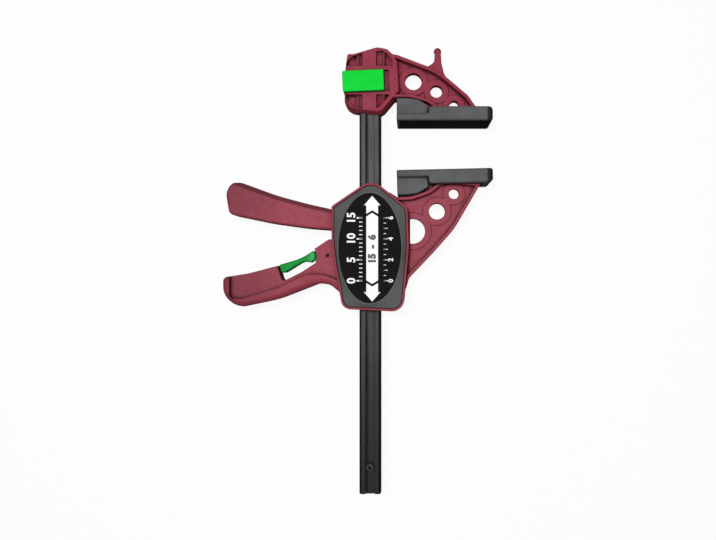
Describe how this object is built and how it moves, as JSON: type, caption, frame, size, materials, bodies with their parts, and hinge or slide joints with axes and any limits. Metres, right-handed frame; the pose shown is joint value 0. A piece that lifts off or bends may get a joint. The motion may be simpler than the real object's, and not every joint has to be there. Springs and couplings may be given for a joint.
{
  "type": "quick release bar clamp",
  "caption": "One-handed quick release bar clamp: a pistol body with trigger and moving jaw on a flat steel bar, with a fixed jaw held by a sliding lock button.",
  "frame": {"origin": "on the centreline of the bar, on the flat outer face of the rear cover", "axes": "+X from the handles towards the jaw tips, +Y along the bar towards the fixed jaw, +Z out of the front cover, normal to the plane that the clamp moves in"},
  "size_m": [0.1956, 0.329, 0.034],
  "materials": {
    "moulded_red": "fine moulded grain, satin",
    "bar_black": "black oxide with rolling streaks",
    "pad_rubber": "soft matte, textured clamping face",
    "cover_grey": "satin",
    "label_black": "printed film",
    "signal_green": "smooth",
    "lever_green": "smooth",
    "steel": "bright zinc",
    "spring_steel": "drawn wire"
  },
  "bodies": {
    "body": {"body_housing": "moulded_red", "front_cover": "cover_grey", "rear_cover": "cover_grey", "front_label": "label_black", "rear_label": "label_black", "moving_jaw_pad": "pad_rubber", "trigger_pivot_studs": "steel", "brake_fulcrum_pin": "steel", "release_lever_pin": "steel", "drive_spring": "spring_steel", "brake_spring": "spring_steel"},
    "bar_and_head": {"bar": "bar_black", "stop_pin": "steel", "head_moulding": "moulded_red", "fixed_jaw_pad": "pad_rubber", "head_lock_spring": "spring_steel"},
    "head_lock": {"head_lock_button": "signal_green", "head_lock_pin": "steel"},
    "trigger_lever": {"trigger": "moulded_red", "trigger_nose_pin": "steel"},
    "drive_plates": {"drive_plate_upper": "steel", "drive_plate_lower": "steel"},
    "release": {"release_lever": "lever_green"},
    "brake": {"brake_plate": "steel"}
  },
  "joints": [
    {"name": "bar_slide", "type": "slide", "parent": "body", "child": "bar_and_head", "axis": [0, 1, 0], "range_m": [-0.0338, 0.112]},
    {"name": "trigger_pull", "type": "hinge", "parent": "body", "child": "trigger_lever", "pos_m": [0, 0.022, 0.017], "axis": [0, 0, 1], "range_deg": [0, 13], "stiffness_Nm_per_rad": 1, "springref_deg": -8.59},
    {"name": "drive_feed", "type": "slide", "parent": "body", "child": "drive_plates", "axis": [0, 1, 0], "range_m": [-0.0029, 0], "deforming": ["drive_spring"]},
    {"name": "release_pull", "type": "hinge", "parent": "body", "child": "release", "pos_m": [-0.031, -0.0057, 0.017], "axis": [0, 0, 1], "range_deg": [0, 5.2], "stiffness_Nm_per_rad": 0.5, "springref_deg": -5.73},
    {"name": "brake_swing", "type": "hinge", "parent": "body", "child": "brake", "pos_m": [-0.012, -0.0063, 0.017], "axis": [0, 0, 1], "range_deg": [-6.5, 0], "deforming": ["brake_spring"]},
    {"name": "head_lock_slide", "type": "slide", "parent": "bar_and_head", "child": "head_lock", "axis": [0.9992, 0.0401, 0], "range_m": [0, 0.0026], "stiffness_N_per_m": 800, "springref_m": -0.002, "deforming": ["head_lock_spring"]}
  ],
  "couplings": [
    {"joint": "drive_feed", "follows": "trigger_pull", "m_per_rad": -0.0125},
    {"joint": "brake_swing", "follows": "release_pull", "ratio": -1.25}
  ]
}
